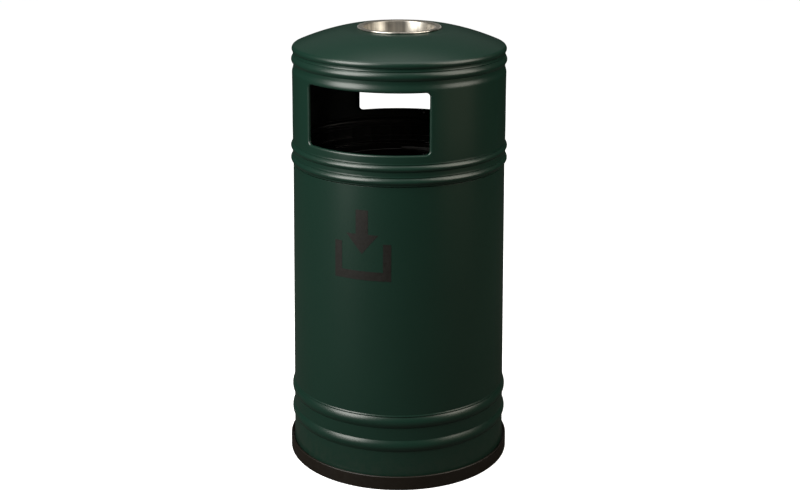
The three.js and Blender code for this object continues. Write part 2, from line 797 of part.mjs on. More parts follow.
function signPiece(outline) {
  const film = turned(rectangle([BODY_RADIUS + GAP, 400], [BODY_RADIUS + GAP + 0.4, 620]));
  return film.intersect(acrossY(new THREE.Shape(outline), -240, -180));
}

function signArrow() {
  const z = SIGN_MIDDLE;
  return signPiece([
    point(-13, z + 72),
    point(-13, z + 22),
    point(-34, z + 22),
    point(0, z - 18),
    point(34, z + 22),
    point(13, z + 22),
    point(13, z + 72),
  ]);
}

function signTray() {
  const z = SIGN_MIDDLE;
  return signPiece([
    point(-60, z + 4),
    point(-60, z - 72),
    point(60, z - 72),
    point(60, z + 4),
    point(44, z + 4),
    point(44, z - 54),
    point(-44, z - 54),
    point(-44, z + 4),
  ]);
}

// ---- Assembly ----

const bin = new THREE.Group();

function place(name, solid, material) {
  const mesh = new THREE.Mesh(toGeometry(solid), material);
  mesh.name = name;
  bin.add(mesh);
}

place("body_shell", bodyShell(), GREEN_PAINT);
place("base_plate", basePlate(), GALVANISED);
place("base_ring", baseRing(), BLACK_RUBBER);
place("rim_gasket", rimGasket(), BLACK_RUBBER);
place("latch_keeper", latchKeeper(), ZINC);
for (const [side, bearing] of Object.entries(LINER_GUIDE_ANGLES)) {
  place(`liner_guide_${side}`, linerGuide(bearing), GALVANISED);
}
place("hinge_body_leaf", hingeBodyLeaf(), GREEN_PAINT);
place("hinge_pin", hingePin(), ZINC);
BODY_RIVETS.forEach(({ bearing, height }, i) => {
  const solid = rivet(bearing, height, BODY_RADIUS - SHEET - 1.1, BODY_RADIUS + GAP + LEAF_THICKNESS);
  place(`hinge_body_rivet_${i + 1}`, solid, ZINC);
});
place("sign_arrow", signArrow(), SIGN_BLACK);
place("sign_tray", signTray(), SIGN_BLACK);

place("hood_shell", hoodShell(), GREEN_PAINT);
place("lid_dome", lidDome(), GREEN_PAINT);
place("hood_seat_ring", hoodSeatRing(), BLACK_PAINT);
place("ashtray_collar", ashtrayCollar(), BLACK_PAINT);
LID_FIXING_BEARINGS.forEach((bearing, i) => {
  place(`lid_bracket_${i + 1}`, lidFixing(lidBracket(), bearing), BLACK_PAINT);
  place(`lid_bolt_${i + 1}`, lidFixing(lidBolt(), bearing), ZINC);
  place(`lid_nut_${i + 1}`, lidFixing(lidNut(), bearing), ZINC);
});
place("hinge_hood_leaf", hingeHoodLeaf(), GREEN_PAINT);
HOOD_RIVET_BEARINGS.forEach((bearing, i) => {
  const outerFace = HOOD_BASE_RADIUS + 0.9 + LEAF_THICKNESS;
  const solid = rivet(bearing, RIVET_PAD_HEIGHT, HOOD_BASE_RADIUS - SHEET - 1.3, outerFace);
  place(`hinge_hood_rivet_${i + 1}`, solid, ZINC);
});
place("latch_bracket", latchBracket(), BLACK_PAINT);
place("latch_barrel", latchBarrel(), ZINC);
place("latch_barrel_nut", hexNut(9.2, 7.4, 658, SHELF_HEIGHT - GAP), ZINC);

place("latch_plug", latchPlug(), BRASS);
place("latch_cam", latchCam(), ZINC);
place("latch_cam_nut", hexNut(4.7, 2.9, CAM_LOW - 4, CAM_LOW - GAP), ZINC);

place("ashtray_bowl", ashtrayBowl(), STAINLESS);

place("liner_shell", linerShell(), BLACK_PAINT);
for (const [name, side] of [["left", -1], ["right", 1]]) {
  place(`liner_ear_${name}`, linerEar(side), ZINC);
  place(`liner_ear_rivet_${name}_1`, earRivet(side, -EAR_RIVET_OFFSET), ZINC);
  place(`liner_ear_rivet_${name}_2`, earRivet(side, EAR_RIVET_OFFSET), ZINC);
}

place("bail_rest", bailRest(), ZINC);

place("bail_wire", bailWire(), BLACK_PAINT);
place("bail_grip", bailGrip(), BLACK_RUBBER);

export default bin;
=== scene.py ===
"""Looks for a round hooded litter bin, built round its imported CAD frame.

Every shell is rebuilt as a fine mesh in metres, in the frame's own axes: +Z is up, the front opening
faces -Y, and an angle round the bin is measured from the front, towards +X.
"""

import json
import math

import bpy
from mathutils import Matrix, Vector


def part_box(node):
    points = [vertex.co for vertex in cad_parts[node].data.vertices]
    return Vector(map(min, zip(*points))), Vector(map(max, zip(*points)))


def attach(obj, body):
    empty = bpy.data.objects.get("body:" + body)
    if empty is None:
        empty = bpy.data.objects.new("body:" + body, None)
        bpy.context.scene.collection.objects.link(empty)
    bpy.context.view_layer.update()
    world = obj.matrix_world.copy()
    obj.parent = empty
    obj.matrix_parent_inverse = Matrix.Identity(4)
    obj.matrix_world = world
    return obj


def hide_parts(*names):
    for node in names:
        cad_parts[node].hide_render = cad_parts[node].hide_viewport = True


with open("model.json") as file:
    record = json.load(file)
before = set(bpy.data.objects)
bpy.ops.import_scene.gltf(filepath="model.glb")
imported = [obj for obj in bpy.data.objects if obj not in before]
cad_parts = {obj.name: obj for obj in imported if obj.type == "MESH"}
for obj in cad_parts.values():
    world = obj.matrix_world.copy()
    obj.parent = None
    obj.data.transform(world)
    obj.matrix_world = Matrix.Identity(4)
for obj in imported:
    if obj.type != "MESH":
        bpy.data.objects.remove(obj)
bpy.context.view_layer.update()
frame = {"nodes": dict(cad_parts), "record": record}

# ---------------------------------------------------------------------------
# Sizes
# ---------------------------------------------------------------------------

MM = 0.001
TINY = 1e-7  # places closer than this are the same
SEGMENTS = 240  # faces round a shell
SHEET = 1.5 * MM  # thickness of the pressed steel


def low(node):
    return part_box(node)[0]


def high(node):
    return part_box(node)[1]


BODY_LOW = low("body_shell").z
BODY_TOP = high("body_shell").z
BODY_RADIUS = 225 * MM
BODY_FLANGE = 6.5 * MM  # how far the body's top is turned in
BODY_FLANGE_DROP = 8 * MM
FOOT_HOLD = 30 * MM  # extra points this far up and down the plain wall keep it straight
WALL_HOLD = 40 * MM

HOOD_LOW = low("hood_shell").z
HOOD_TOP = high("hood_shell").z
HOOD_BASE_RADIUS = BODY_RADIUS + 1.2 * MM  # between the beads at its foot
HOOD_WALL_RADIUS = BODY_RADIUS + 1.7 * MM  # beside the openings
NECK_RADIUS = BODY_RADIUS - 0.4 * MM  # over them, under the lid
NECK_FLANGE = 206 * MM  # inner radius of the flange at the top
WALL_LOW = 735 * MM  # the wall swells from the sill bead up to here
SHOULDER = (823 * MM, 836.5 * MM)  # the wall turns in over the openings, from here up to the neck
SHOULDER_SWELL = 0.6 * MM

# Pressed beads: the height where each starts and ends, and how far it stands proud
FOOT_BEAD = (77.7 * MM, 101.5 * MM, 4.2 * MM)
LOWER_BEAD = (127.6 * MM, 150.8 * MM, 4.3 * MM)
SEAM_BEAD = (632 * MM, 645.8 * MM, 4.0 * MM)
SILL_BEAD = (658.6 * MM, 672 * MM, 4.0 * MM)
CROWN_BEAD = (841.7 * MM, 859 * MM, 4.4 * MM)
BEAD_STEPS = 18
BEAD_FULLNESS = 0.85  # 1 is half a sine wave; less is a fuller bead with steeper sides
CREASE = 0.5 * MM  # the wall stays flat up to this far from a bead
# The press leaves a low ridge over a bead. It stands this far proud
RIDGE = 0.8 * MM
LOWER_RIDGE = 1.3 * MM
# and has this outline: (share of how proud it is, height over the bead's end)
RIDGE_SHAPE = ((0, 0.4 * MM), (0, 1.2 * MM), (1, 1.9 * MM), (0.94, 2.4 * MM), (0, 4.5 * MM))

# Openings in the hood, inside their turned-in lips
OPENING_LOW = 692.5 * MM
OPENING_HIGH = 818 * MM
OPENING_CORNER = 8 * MM
FRONT_HALF = 131 * MM  # half their widths
REAR_HALF = 155 * MM
LIP_BEND = 3.9 * MM  # radius of the bend from the wall into the lip
LIP_DEPTH = 6 * MM
CORNER_STEPS = 4  # grid cells along each side of a corner
POST_STEPS = 36  # grid columns between two openings
COLUMN_WIDTH = 6 * MM  # of the grid over an opening
ROWS_BELOW, ROWS_BESIDE, ROWS_ABOVE = 4, 10, 9  # grid rows by the openings
ROW_SLACK = 0.1 * MM  # how far the two faces of the sheet may differ in the height of a row

# Domed lid
DOME_CROWN = 924.3 * MM  # where the dome's curve would top out
DOME_DROP = 45.1 * MM  # from there to the body's radius
DOME_POWER = 2.23
DOME_SEAT = 914 * MM  # the dome is pressed flat at this height, round its hole
DOME_BLEND = 0.8 * MM  # softness of the bend from the seat to the dome
DOME_EDGE_RADIUS = 223 * MM  # where the dome meets its rolled edge
DOME_ROLL = 8 * MM
DOME_ROLL_END = -48  # degrees under level where the rolled edge stops
DOME_HOLE = 79.6 * MM

# Ashtray
ASH_LOW, ASH_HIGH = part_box("ashtray_bowl")
ASH_RIM = ASH_HIGH.x
ASH_MOUTH = ASH_RIM - 13 * MM  # radius of the bowl inside its flange
ASH_STEEL = 1.2 * MM
ASH_TAPER = 2.5 * MM  # how much narrower the bowl is at its floor
ASH_HEEL = 8 * MM  # radius of the bend from the wall to the floor
ASH_FLOOR_HOLD = 40 * MM  # radius of an extra point that keeps the floor flat
# Its rolled rim starts under the edge: (in from the rim, over the dome's seat),
ASH_EDGE = ((1.6 * MM, 0.4 * MM), (0.5 * MM, 0.9 * MM), (0, 2 * MM))
# turns over the edge: (in from the rim, under the top),
ASH_ROLL = ((0.3 * MM, 1.1 * MM), (1.1 * MM, 0.3 * MM), (2.4 * MM, 0))
# and drops into the bowl: (out from the mouth, under the top)
ASH_THROAT = ((3.5 * MM, 0.7 * MM), (1.4 * MM, 1.1 * MM), (0.3 * MM, 2 * MM), (0, 3.4 * MM))

# Base ring, over the foot of the body
FOOT_INNER = 206.5 * MM
FOOT_FLANGE = 6 * MM  # thickness of the flange under the body
FOOT_GAP = 0.5 * MM  # between the body and the ring
FOOT_RIM = 3.2 * MM  # width of the raised rim on top
FOOT_GROOVE = 5 * MM  # depth of the groove inside that rim
FOOT_RIM_LEAN = 0.2 * MM
FOOT_EDGE = 0.8 * MM  # bevels of the rim
FOOT_CHAMFER = 1.2 * MM  # on the floor
GASKET_INNER = 219 * MM

# Sign film
FILM_LIFT = 0.12 * MM
FILM_THICKNESS = 0.25 * MM
FILM_STRIP = 3 * MM  # width of the flat strips that follow the body's curve
ARROW_SHAFT_HALF = 13 * MM
ARROW_HEAD = 40 * MM
TRAY_INNER_HALF = 44 * MM
TRAY_FLOOR = 18 * MM

# Liner and bail
LINER_SHEET = 1.3 * MM
LINER_ROLL = 3.7 * MM  # radius of the rolled rim
LINER_ROLL_DROP = 4.8 * MM  # from the top to the roll's centre
LINER_FLOOR_HOLD = 120 * MM  # radius of an extra point that keeps the floor flat
LINER_FLOOR_RADIUS = 183 * MM
LINER_HEEL = 5 * MM  # radius of the bend from the floor to the wall
LINER_WALL = (190 * MM, 130 * MM)  # the tapered wall's radius, and the height over its floor there
WIRE = 2.5 * MM  # radius of the bail's wire
WIRE_BEND = 3.5 * MM
WIRE_CLEAR = 2 * MM  # from the bend to the start of the half ring
WIRE_SIDES = 16

# ---------------------------------------------------------------------------
# Outlines: lists of (radius, height, side) points, where side picks the material
# ---------------------------------------------------------------------------

# The inside faces take black paint, dark enough to stand in also for the shade inside the bin.
OUTSIDE, INSIDE = 0, 1


def bead(base, span, ridge=RIDGE, fullness=BEAD_FULLNESS):
    """A pressed bead: a half sine wave raised to a power, with a low ridge above it."""
    start, end, proud = span
    crown = []
    for i in range(BEAD_STEPS):
        share = i / BEAD_STEPS
        out = proud * math.sin(math.pi * share) ** fullness
        crown.append((base + out, start + share * (end - start)))
    crown.append((base, end))
    crown += [(base + ridge * out, end + up) for out, up in RIDGE_SHAPE]
    return [(base, start - CREASE)] + crown + [(base, crown[-1][1] + CREASE)]


def arc(centre, radius, start, end, steps):
    angles = [math.radians(start + (end - start) * i / steps) for i in range(steps + 1)]
    return [(centre[0] + radius * math.cos(a), centre[1] + radius * math.sin(a)) for a in angles]


def offset_path(path, distance):
    """The path moved to its left."""
    moved = []
    for i, p in enumerate(path):
        before = Vector(path[max(i - 1, 0)])
        here = Vector(p)
        after = Vector(path[min(i + 1, len(path) - 1)])
        into = (here - before) if i else (after - here)
        out = (after - here) if i < len(path) - 1 else (here - before)
        into.normalize()
        out.normalize()
        normal = Vector((-into.y - out.y, into.x + out.x)).normalized()
        stretch = 1 / max(normal.dot(Vector((-into.y, into.x))), 0.5)
        moved.append(tuple(here + normal * distance * stretch))
    return moved


def sheet(path, thickness=SHEET, edge=0.4):
    """The closed outline of a sheet on a path's left. edge: its corners' radius over its thickness."""
    inner = offset_path(path, thickness)
    for end in (0, -1):
        if path[end][0] == 0:
            inner[end] = (0.0, inner[end][1])
    outer = [(r, z, OUTSIDE) for r, z in path]
    return rounded(outer + [(r, z, INSIDE) for r, z in reversed(inner)], edge * thickness)


def solid(points, radius):
    return rounded([(r, z, OUTSIDE) for r, z in points], radius)


SHARP_TURN = math.radians(28)  # corners that turn more than this are rounded
CORNER_SHARE = 0.4  # a rounded corner takes up at most this share of a side
HOLD = 0.5 * MM  # an extra point this far from a rounded corner keeps the face beside it flat
LONG_SIDE = 4 * HOLD  # only sides longer than this get one


def rounded(outline, radius, steps=3):
    """The closed outline with its sharp corners rounded."""
    result = []
    count = len(outline)
    for i, (r, z, side) in enumerate(outline):
        here = Vector((r, z))
        before = Vector(outline[i - 1][:2]) - here
        after = Vector(outline[(i + 1) % count][:2]) - here
        turn = math.pi - before.angle(after) if before.length and after.length else 0
        if turn < SHARP_TURN or r == 0:
            result.append((r, z, side))
            continue
        side_limit = CORNER_SHARE * min(before.length, after.length)
        reach = min(radius * math.tan(turn / 2), side_limit)
        start = here + before.normalized() * reach
        end = here + after.normalized() * reach
        previous_side = outline[i - 1][2]
        if before.length > reach + LONG_SIDE:
            result.append((*(start + before.normalized() * HOLD), previous_side))
        for k in range(steps + 1):
            t = k / steps
            p = start * (1 - t) ** 2 + here * 2 * t * (1 - t) + end * t**2
            result.append((p.x, p.y, previous_side if k < steps else side))
        if after.length > reach + LONG_SIDE:
            result.append((*(end + after.normalized() * HOLD), side))
    return result


def anticlockwise(outline):
    count = len(outline)
    area = sum(
        outline[i][0] * outline[(i + 1) % count][1] - outline[(i + 1) % count][0] * outline[i][1]
        for i in range(count)
    )
    return outline if area > 0 else outline[::-1]


# ---------------------------------------------------------------------------
# Meshes
# ---------------------------------------------------------------------------


def around(r, angle, z):
    return (r * math.sin(angle), -r * math.cos(angle), z)


def piece(name, verts, faces, sides, materials, body, *nodes):
    """Makes a smooth-shaded piece on a body. It stands for the CAD nodes."""
    mesh = bpy.data.meshes.new(name)
    mesh.from_pydata(verts, [], faces)
    for polygon, side in zip(mesh.polygons, sides):
        polygon.material_index = min(side, len(materials) - 1)
        polygon.use_smooth = True
    for material in materials:
        mesh.materials.append(material)
    obj = bpy.data.objects.new(name, mesh)
    bpy.context.scene.collection.objects.link(obj)
    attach(obj, body)
    if nodes:
        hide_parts(*nodes)
    return obj


SLOT_OF = {row["node"]: row["material_slot"] for row in frame["record"]["subparts"]}


def turned(name, outline, materials, body, *nodes, segments=SEGMENTS):
    """Turns a closed outline round the Z axis."""
    outline = anticlockwise(outline)
    verts, faces, sides, rings = [], [], [], []
    for r, z, _ in outline:
        if r < TINY:
            rings.append([len(verts)] * segments)
            verts.append((0, 0, z))
        else:
            rings.append(list(range(len(verts), len(verts) + segments)))
            verts += [around(r, 2 * math.pi * i / segments, z) for i in range(segments)]
    for k, (r, _, side) in enumerate(outline):
        ring = rings[k]
        following = rings[(k + 1) % len(outline)]
        if ring[0] == ring[1] and following[0] == following[1]:
            continue
        for i in range(segments):
            j = (i + 1) % segments
            corners = [ring[i], ring[j], following[j], following[i]]
            faces.append(list(dict.fromkeys(corners)))
            sides.append(side)
    piece(name, verts, faces, sides, materials, body, *nodes)


def plain_ring(node, inner, edge, material, body):
    """A ring of rectangular section, as large as its CAD node, with its edges rounded."""
    bottom, top, outer = low(node).z, high(node).z, high(node).x
    outline = [(inner, bottom), (outer, bottom), (outer, top), (inner, top)]
    turned(f"{node}_skin", solid(outline, edge), [material], body, node)


# ---------------------------------------------------------------------------
# Materials
# ---------------------------------------------------------------------------

MIX_FIRST, MIX_SECOND, MIX_RESULT = 6, 7, 2  # the colour sockets of a mix node


class Finish:
    """A principled material and short calls for the textures that feed it."""

    def __init__(self, name, color, roughness, metallic=0.0):
        self.material = bpy.data.materials.new(name)
        self.material.use_nodes = True
        self.material.diffuse_color = (*color, 1)
        self.nodes = self.material.node_tree.nodes
        self.links = self.material.node_tree.links
        self.shader = self.nodes["Principled BSDF"]
        self.shader.inputs["Base Color"].default_value = (*color, 1)
        self.shader.inputs["Roughness"].default_value = roughness
        self.shader.inputs["Metallic"].default_value = metallic
        self.place = self.nodes.new("ShaderNodeTexCoord").outputs["Object"]

    def noise(self, scale, detail=2.0, place=None):
        node = self.nodes.new("ShaderNodeTexNoise")
        node.inputs["Scale"].default_value = scale
        node.inputs["Detail"].default_value = detail
        self.links.new(place or self.place, node.inputs["Vector"])
        return node.outputs["Fac"]

    def remap(self, value, start, end, from_low=0.3, from_high=0.7):
        node = self.nodes.new("ShaderNodeMapRange")
        node.inputs["From Min"].default_value = from_low
        node.inputs["From Max"].default_value = from_high
        node.inputs["To Min"].default_value = start
        node.inputs["To Max"].default_value = end
        self.links.new(value, node.inputs["Value"])
        return node.outputs["Result"]

    def mix(self, factor, first, second):
        node = self.nodes.new("ShaderNodeMix")
        node.data_type = "RGBA"
        self.links.new(factor, node.inputs["Factor"])
        for index, color in ((MIX_FIRST, first), (MIX_SECOND, second)):
            if isinstance(color, tuple):
                node.inputs[index].default_value = (*color, 1)
            else:
                self.links.new(color, node.inputs[index])
        return node.outputs[MIX_RESULT]

    def math(self, operation, *values):
        node = self.nodes.new("ShaderNodeMath")
        node.operation = operation
        for socket, value in zip(node.inputs, values):
            self.links.new(value, socket)
        return node.outputs["Value"]

    def coordinates(self):
        """The place's X, Y and Z as three values."""
        node = self.nodes.new("ShaderNodeSeparateXYZ")
        self.links.new(self.place, node.inputs["Vector"])
        return node.outputs

    def bump(self, height, strength, distance, normal=None):
        node = self.nodes.new("ShaderNodeBump")
        node.inputs["Strength"].default_value = strength
        node.inputs["Distance"].default_value = distance
        self.links.new(height, node.inputs["Height"])
        if normal:
            self.links.new(normal, node.inputs["Normal"])
        return node.outputs["Normal"]

    def feed(self, socket, value):
        self.links.new(value, self.shader.inputs[socket])


PAINT_IOR = 1.56
DUST_COLOR = (0.055, 0.052, 0.042)
DUST_SHARE = 0.16  # of the colour at floor level
DUST_TOP = 90 * MM


def powder_coat(name, color, tint, roughness):
    """Satin powder coat: fine orange peel, a little uneven in colour, dusty near the floor."""
    paint = Finish(name, color, roughness)
    mottled = paint.mix(paint.remap(paint.noise(7, 3), 0, 1), color, tint)
    dust = paint.remap(paint.coordinates()["Z"], 0, DUST_SHARE, DUST_TOP, 0.0)
    patchy_dust = paint.math("MULTIPLY", dust, paint.remap(paint.noise(70, 3), 0.3, 1.6))
    paint.feed("Base Color", paint.mix(patchy_dust, mottled, DUST_COLOR))
    peel = paint.bump(paint.noise(700, 2), 0.06, 0.25 * MM)
    paint.feed("Normal", paint.bump(paint.noise(1900, 1), 0.05, 0.1 * MM, peel))
    paint.shader.inputs["IOR"].default_value = PAINT_IOR
    return paint.material


def moulded(name, color, tint, roughness):
    """Moulded plastic or rubber with a fine texture and dusty patches."""
    plastic = Finish(name, color, roughness)
    plastic.feed("Base Color", plastic.mix(plastic.remap(plastic.noise(24, 4), 0, 1), color, tint))
    plastic.feed("Roughness", plastic.remap(plastic.noise(160, 3), roughness - 0.05, roughness + 0.07))
    plastic.feed("Normal", plastic.bump(plastic.noise(1300, 3), 0.22, 0.3 * MM))
    return plastic.material


FLANGE_ROUGHNESS = 0.45
# The dull finish of the flange fades in between the first two radii and out between the others
FLANGE_START = (ASH_MOUTH - 0.5 * MM, ASH_MOUTH + 2 * MM)
FLANGE_END = (ASH_RIM - 2.5 * MM, ASH_RIM - 1 * MM)
REFLECTION_BAND_SHADE = 0.3  # how dark the darkest painted reflection band in the bowl is, as a share of the bright colour


def turned_steel(name, color, dull, roughness):
    """Stainless steel turned round the Z axis: a bowl with painted reflections as dark and bright bands
    round it, a dull brushed flange, a bright edge.
    """
    steel = Finish(name, color, roughness, 0.9)
    place = steel.coordinates()
    x, y = place["X"], place["Y"]
    squares = steel.math("ADD", steel.math("MULTIPLY", x, x), steel.math("MULTIPLY", y, y))
    radius = steel.math("SQRT", squares)
    direction = steel.nodes.new("ShaderNodeCombineXYZ")
    steel.links.new(steel.math("DIVIDE", x, radius), direction.inputs["X"])
    steel.links.new(steel.math("DIVIDE", y, radius), direction.inputs["Y"])
    # painted reflections: dark and bright bands round the bowl, in its base colour
    reflection_bands = steel.remap(steel.noise(3.6, 3, direction.outputs["Vector"]), 0, 1, 0.36, 0.6)
    bowl = steel.mix(reflection_bands, tuple(REFLECTION_BAND_SHADE * c for c in color), color)
    on_flange = steel.remap(radius, 0, 1, *FLANGE_START)
    before_edge = steel.remap(radius, 1, 0, *FLANGE_END)
    flat = steel.math("MULTIPLY", on_flange, before_edge)
    steel.feed("Base Color", steel.mix(flat, bowl, dull))
    steel.feed("Roughness", steel.remap(flat, roughness, FLANGE_ROUGHNESS, 0, 1))
    rings = steel.nodes.new("ShaderNodeCombineXYZ")
    steel.links.new(radius, rings.inputs["X"])
    steel.feed("Normal", steel.bump(steel.noise(900, 2, rings.outputs["Vector"]), 0.03, 0.03 * MM))
    return steel.material


DULL_SHADE = 0.72  # how dark the dull patches of a plating are, as a share of its colour


def plated(name, color, roughness, patch_scale):
    """Zinc plate or galvanising: patchy crystals in colour and sheen."""
    metal = Finish(name, color, roughness, 1.0)
    cells = metal.nodes.new("ShaderNodeTexVoronoi")
    cells.inputs["Scale"].default_value = patch_scale
    metal.links.new(metal.place, cells.inputs["Vector"])
    dull = tuple(DULL_SHADE * c for c in color)
    metal.feed("Base Color", metal.mix(metal.remap(metal.noise(90, 4), 0, 1), color, dull))
    sheen = metal.remap(cells.outputs["Color"], roughness - 0.08, roughness + 0.12, 0, 1)
    metal.feed("Roughness", sheen)
    metal.feed("Normal", metal.bump(metal.noise(700, 3), 0.12, 0.15 * MM))
    return metal.material


GREEN = powder_coat("green_paint", (0.0055, 0.0255, 0.0168), (0.0062, 0.0278, 0.0184), 0.315)
# black paint for the inside, the liner and the bail, also standing in for the shade inside the bin
BLACK_PAINT_AND_SHADE = powder_coat("black_paint", (0.0042, 0.0042, 0.0038), (0.0054, 0.0052, 0.0047), 0.34)
BASE_PLASTIC = moulded("base_plastic", (0.0072, 0.0045, 0.0022), (0.0094, 0.0060, 0.0032), 0.45)
GRIP_PLASTIC = moulded("grip_plastic", (0.012, 0.012, 0.012), (0.017, 0.017, 0.017), 0.55)
RUBBER = moulded("gasket_rubber", (0.006, 0.006, 0.006), (0.009, 0.009, 0.009), 0.7)
SIGN_FILM = moulded("sign_film", (0.0050, 0.0042, 0.0028), (0.0062, 0.0052, 0.0035), 0.52)
STAINLESS = turned_steel("stainless", (0.70, 0.66, 0.60), (0.25, 0.23, 0.195), 0.285)
ZINC = plated("zinc", (0.55, 0.56, 0.56), 0.34, 420)
GALVANISED = plated("galvanised", (0.42, 0.44, 0.44), 0.42, 110)
BRASS = plated("brass", (0.62, 0.44, 0.16), 0.28, 500)

MATERIALS = {
    "green_paint": GREEN,
    "black_paint": BLACK_PAINT_AND_SHADE,
    "base_plastic": BASE_PLASTIC,
    "grip_plastic": GRIP_PLASTIC,
    "gasket_rubber": RUBBER,
    "sign_film": SIGN_FILM,
    "stainless": STAINLESS,
    "zinc": ZINC,
    "galvanised": GALVANISED,
    "brass": BRASS,
}

# ---------------------------------------------------------------------------
# Body
# ---------------------------------------------------------------------------


def build_body():
    lip = BODY_RADIUS - BODY_FLANGE
    path = [
        (BODY_RADIUS, BODY_LOW),
        (BODY_RADIUS, BODY_LOW + FOOT_HOLD),
        *bead(BODY_RADIUS, FOOT_BEAD, ridge=0, fullness=1),
        *bead(BODY_RADIUS, LOWER_BEAD, ridge=LOWER_RIDGE),
        (BODY_RADIUS, LOWER_BEAD[1] + WALL_HOLD),
        (BODY_RADIUS, BODY_TOP - WALL_HOLD),
        (BODY_RADIUS, BODY_TOP),
        (lip, BODY_TOP),
        (lip, BODY_TOP - BODY_FLANGE_DROP),
    ]
    turned("body_skin", sheet(path, edge=0.1), [GREEN, BLACK_PAINT_AND_SHADE], "root", "body_shell")


def build_base():
    top = high("base_ring").z
    outer = high("base_ring").x
    rim = outer - FOOT_RIM
    groove = top - FOOT_GROOVE
    ring = [
        (FOOT_INNER, 0),
        (outer - FOOT_CHAMFER, 0),
        (outer, FOOT_CHAMFER),
        (outer, top - FOOT_EDGE),
        (outer - FOOT_EDGE, top),
        (rim, top),
        (rim - FOOT_EDGE, top - FOOT_EDGE),
        (rim - FOOT_EDGE - FOOT_RIM_LEAN, groove),
        (BODY_RADIUS + FOOT_GAP, groove),
        (BODY_RADIUS + FOOT_GAP, FOOT_FLANGE),
        (FOOT_INNER, FOOT_FLANGE),
    ]
    turned("base_ring_skin", solid(ring, 0.5 * MM), [BASE_PLASTIC], "root", "base_ring")
    plain_ring("rim_gasket", GASKET_INNER, 0.3 * MM, RUBBER, "root")


# ---------------------------------------------------------------------------
# Sign: an arrow pointing down into an open tray
# ---------------------------------------------------------------------------

JUST_INSIDE = 1e-6  # a strip's spans are taken this far in from its ends
BOX_FACES = (
    (4, 5, 6, 7),
    (3, 2, 1, 0),
    (0, 1, 5, 4),
    (2, 3, 7, 6),
    (1, 2, 6, 5),
    (3, 0, 4, 7),
)


def on_body(x, z, lift):
    r = BODY_RADIUS + lift
    return (x, -math.sqrt(r * r - x * x), z)


def film(name, spans, node):
    """A thin film on the body. spans(x) gives the (low, high) stretches that it covers at x."""
    half = high(node).x
    count = 2 * round(half / FILM_STRIP)
    stations = sorted({-half + 2 * half * i / count for i in range(count + 1)} | set(spans.breaks))
    verts, faces = [], []
    for left, right in zip(stations, stations[1:]):
        pairs = zip(spans(left + JUST_INSIDE), spans(right - JUST_INSIDE))
        for (a0, a1), (b0, b1) in pairs:
            start = len(verts)
            for lift in (FILM_LIFT, FILM_LIFT + FILM_THICKNESS):
                verts += [
                    on_body(left, a0, lift),
                    on_body(right, b0, lift),
                    on_body(right, b1, lift),
                    on_body(left, a1, lift),
                ]
            faces += [[start + i for i in quad] for quad in BOX_FACES]
    obj = piece(name, verts, faces, [0] * len(faces), [SIGN_FILM], "root", node)
    for polygon in obj.data.polygons:
        polygon.use_smooth = False


class ArrowSpans:
    """A shaft on a triangular head that points down."""

    def __init__(self, bottom, top, half, shaft_half, head_height):
        self.bottom, self.top, self.half = bottom, top, half
        self.shaft_half, self.head_height = shaft_half, head_height
        self.breaks = (-shaft_half, 0.0, shaft_half)

    def __call__(self, x):
        edge = self.bottom + self.head_height * abs(x) / self.half
        top = self.top if abs(x) < self.shaft_half else self.bottom + self.head_height
        return [(edge, top)]


class TraySpans:
    """A floor with a wall at each end."""

    def __init__(self, bottom, top, inner_half, floor):
        self.bottom, self.top, self.inner_half, self.floor = bottom, top, inner_half, floor
        self.breaks = (-inner_half, inner_half)

    def __call__(self, x):
        top = self.top if abs(x) > self.inner_half else self.bottom + self.floor
        return [(self.bottom, top)]


def build_sign():
    bottom, top, half = low("sign_arrow").z, high("sign_arrow").z, high("sign_arrow").x
    arrow = ArrowSpans(bottom, top, half, ARROW_SHAFT_HALF, ARROW_HEAD)
    film("sign_arrow_film", arrow, "sign_arrow")
    bottom, top = low("sign_tray").z, high("sign_tray").z
    film("sign_tray_film", TraySpans(bottom, top, TRAY_INNER_HALF, TRAY_FLOOR), "sign_tray")


# ---------------------------------------------------------------------------
# Hood
# ---------------------------------------------------------------------------


def wall_radius(z):
    """Radius of the hood's outer face between its beads, with a shoulder over the openings."""
    if z < WALL_LOW:
        share = (WALL_LOW - z) / (WALL_LOW - SILL_BEAD[1])
        return HOOD_WALL_RADIUS - (HOOD_WALL_RADIUS - HOOD_BASE_RADIUS) * share**2
    start, end = SHOULDER
    widest = HOOD_WALL_RADIUS + SHOULDER_SWELL
    if z < start:
        return HOOD_WALL_RADIUS + SHOULDER_SWELL * ((z - WALL_LOW) / (start - WALL_LOW)) ** 2
    share = min((z - start) / (end - start), 1)
    return widest - (widest - NECK_RADIUS) * share * share * (3 - 2 * share)


def spread(start, end, steps):
    return [start + (end - start) * i / steps for i in range(steps + 1)]


class Opening:
    """A rectangular opening with round corners and a turned-in lip."""

    def __init__(self, centre, half):
        self.centre = centre
        self.half = half
        self.first = None  # grid column at its left
        self.across = None  # grid columns across its straight part

    def angle(self, x):
        return self.centre + math.asin(x / HOOD_WALL_RADIUS)

    def loop(self, offset, depth, xs, zs):
        """Points round the opening, anticlockwise from outside, offset out from its clear edge."""
        inner = self.half - OPENING_CORNER
        bottom = OPENING_LOW + OPENING_CORNER
        top = OPENING_HIGH - OPENING_CORNER
        radius = OPENING_CORNER + offset
        flat = [(x, bottom - radius) for x in xs]
        flat += self.corner(inner, bottom, radius, -90)
        flat += [(inner + radius, z) for z in zs]
        flat += self.corner(inner, top, radius, 0)
        flat += [(x, top + radius) for x in reversed(xs)]
        flat += self.corner(-inner, top, radius, 90)
        flat += [(-inner - radius, z) for z in reversed(zs)]
        flat += self.corner(-inner, bottom, radius, 180)
        return [around(wall_radius(z) - depth, self.angle(x), z) for x, z in flat]

    def corner(self, x, z, radius, start):
        steps = 2 * CORNER_STEPS
        return arc((x, z), radius, start, start + 90, steps)[1:-1]


